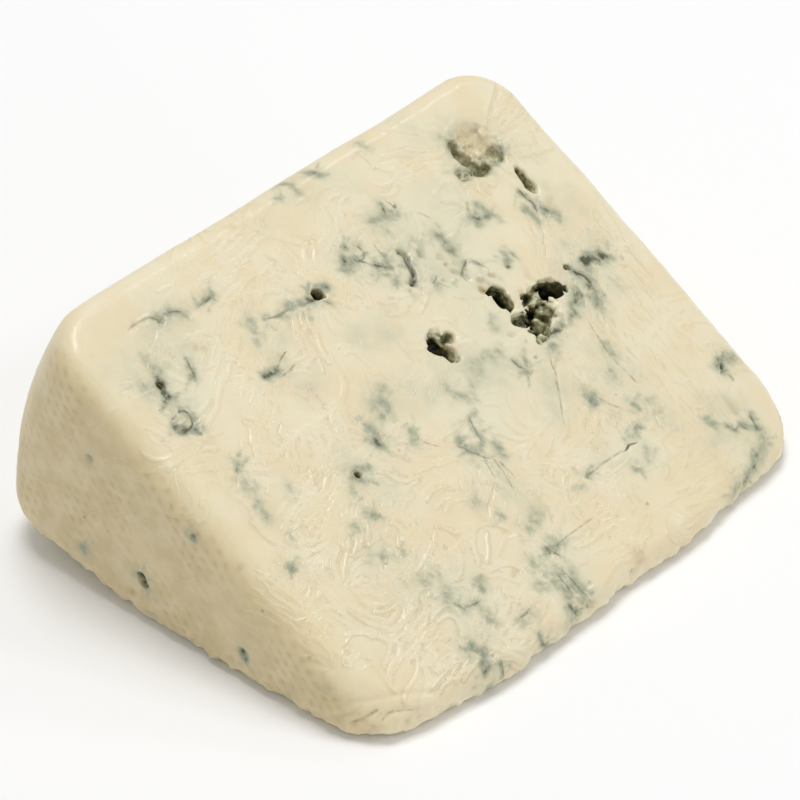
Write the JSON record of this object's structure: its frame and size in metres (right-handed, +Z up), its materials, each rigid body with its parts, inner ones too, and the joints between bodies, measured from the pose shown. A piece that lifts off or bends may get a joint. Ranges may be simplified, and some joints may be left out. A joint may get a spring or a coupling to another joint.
{
  "type": "blue cheese wedge",
  "caption": "Wedge of blue cheese cut from a drum-shaped wheel, lying on a cut face, with ragged eyes, a scalloped thin edge and softly rounded edges.",
  "frame": {"origin": "middle of the footprint's box, on the resting cut face", "axes": "+Z up from the resting cut face; +Y along the axis of the wheel the wedge was cut from, the longest way; -X towards the rind arc and +X towards the thin edge"},
  "size_m": [0.0894, 0.1104, 0.0475],
  "materials": {
    "cheese": "soft moist cream curd with blue-grey veins and a thin gloss"
  },
  "bodies": {
    "root": {"cheese_wedge": "cheese"}
  },
  "joints": []
}
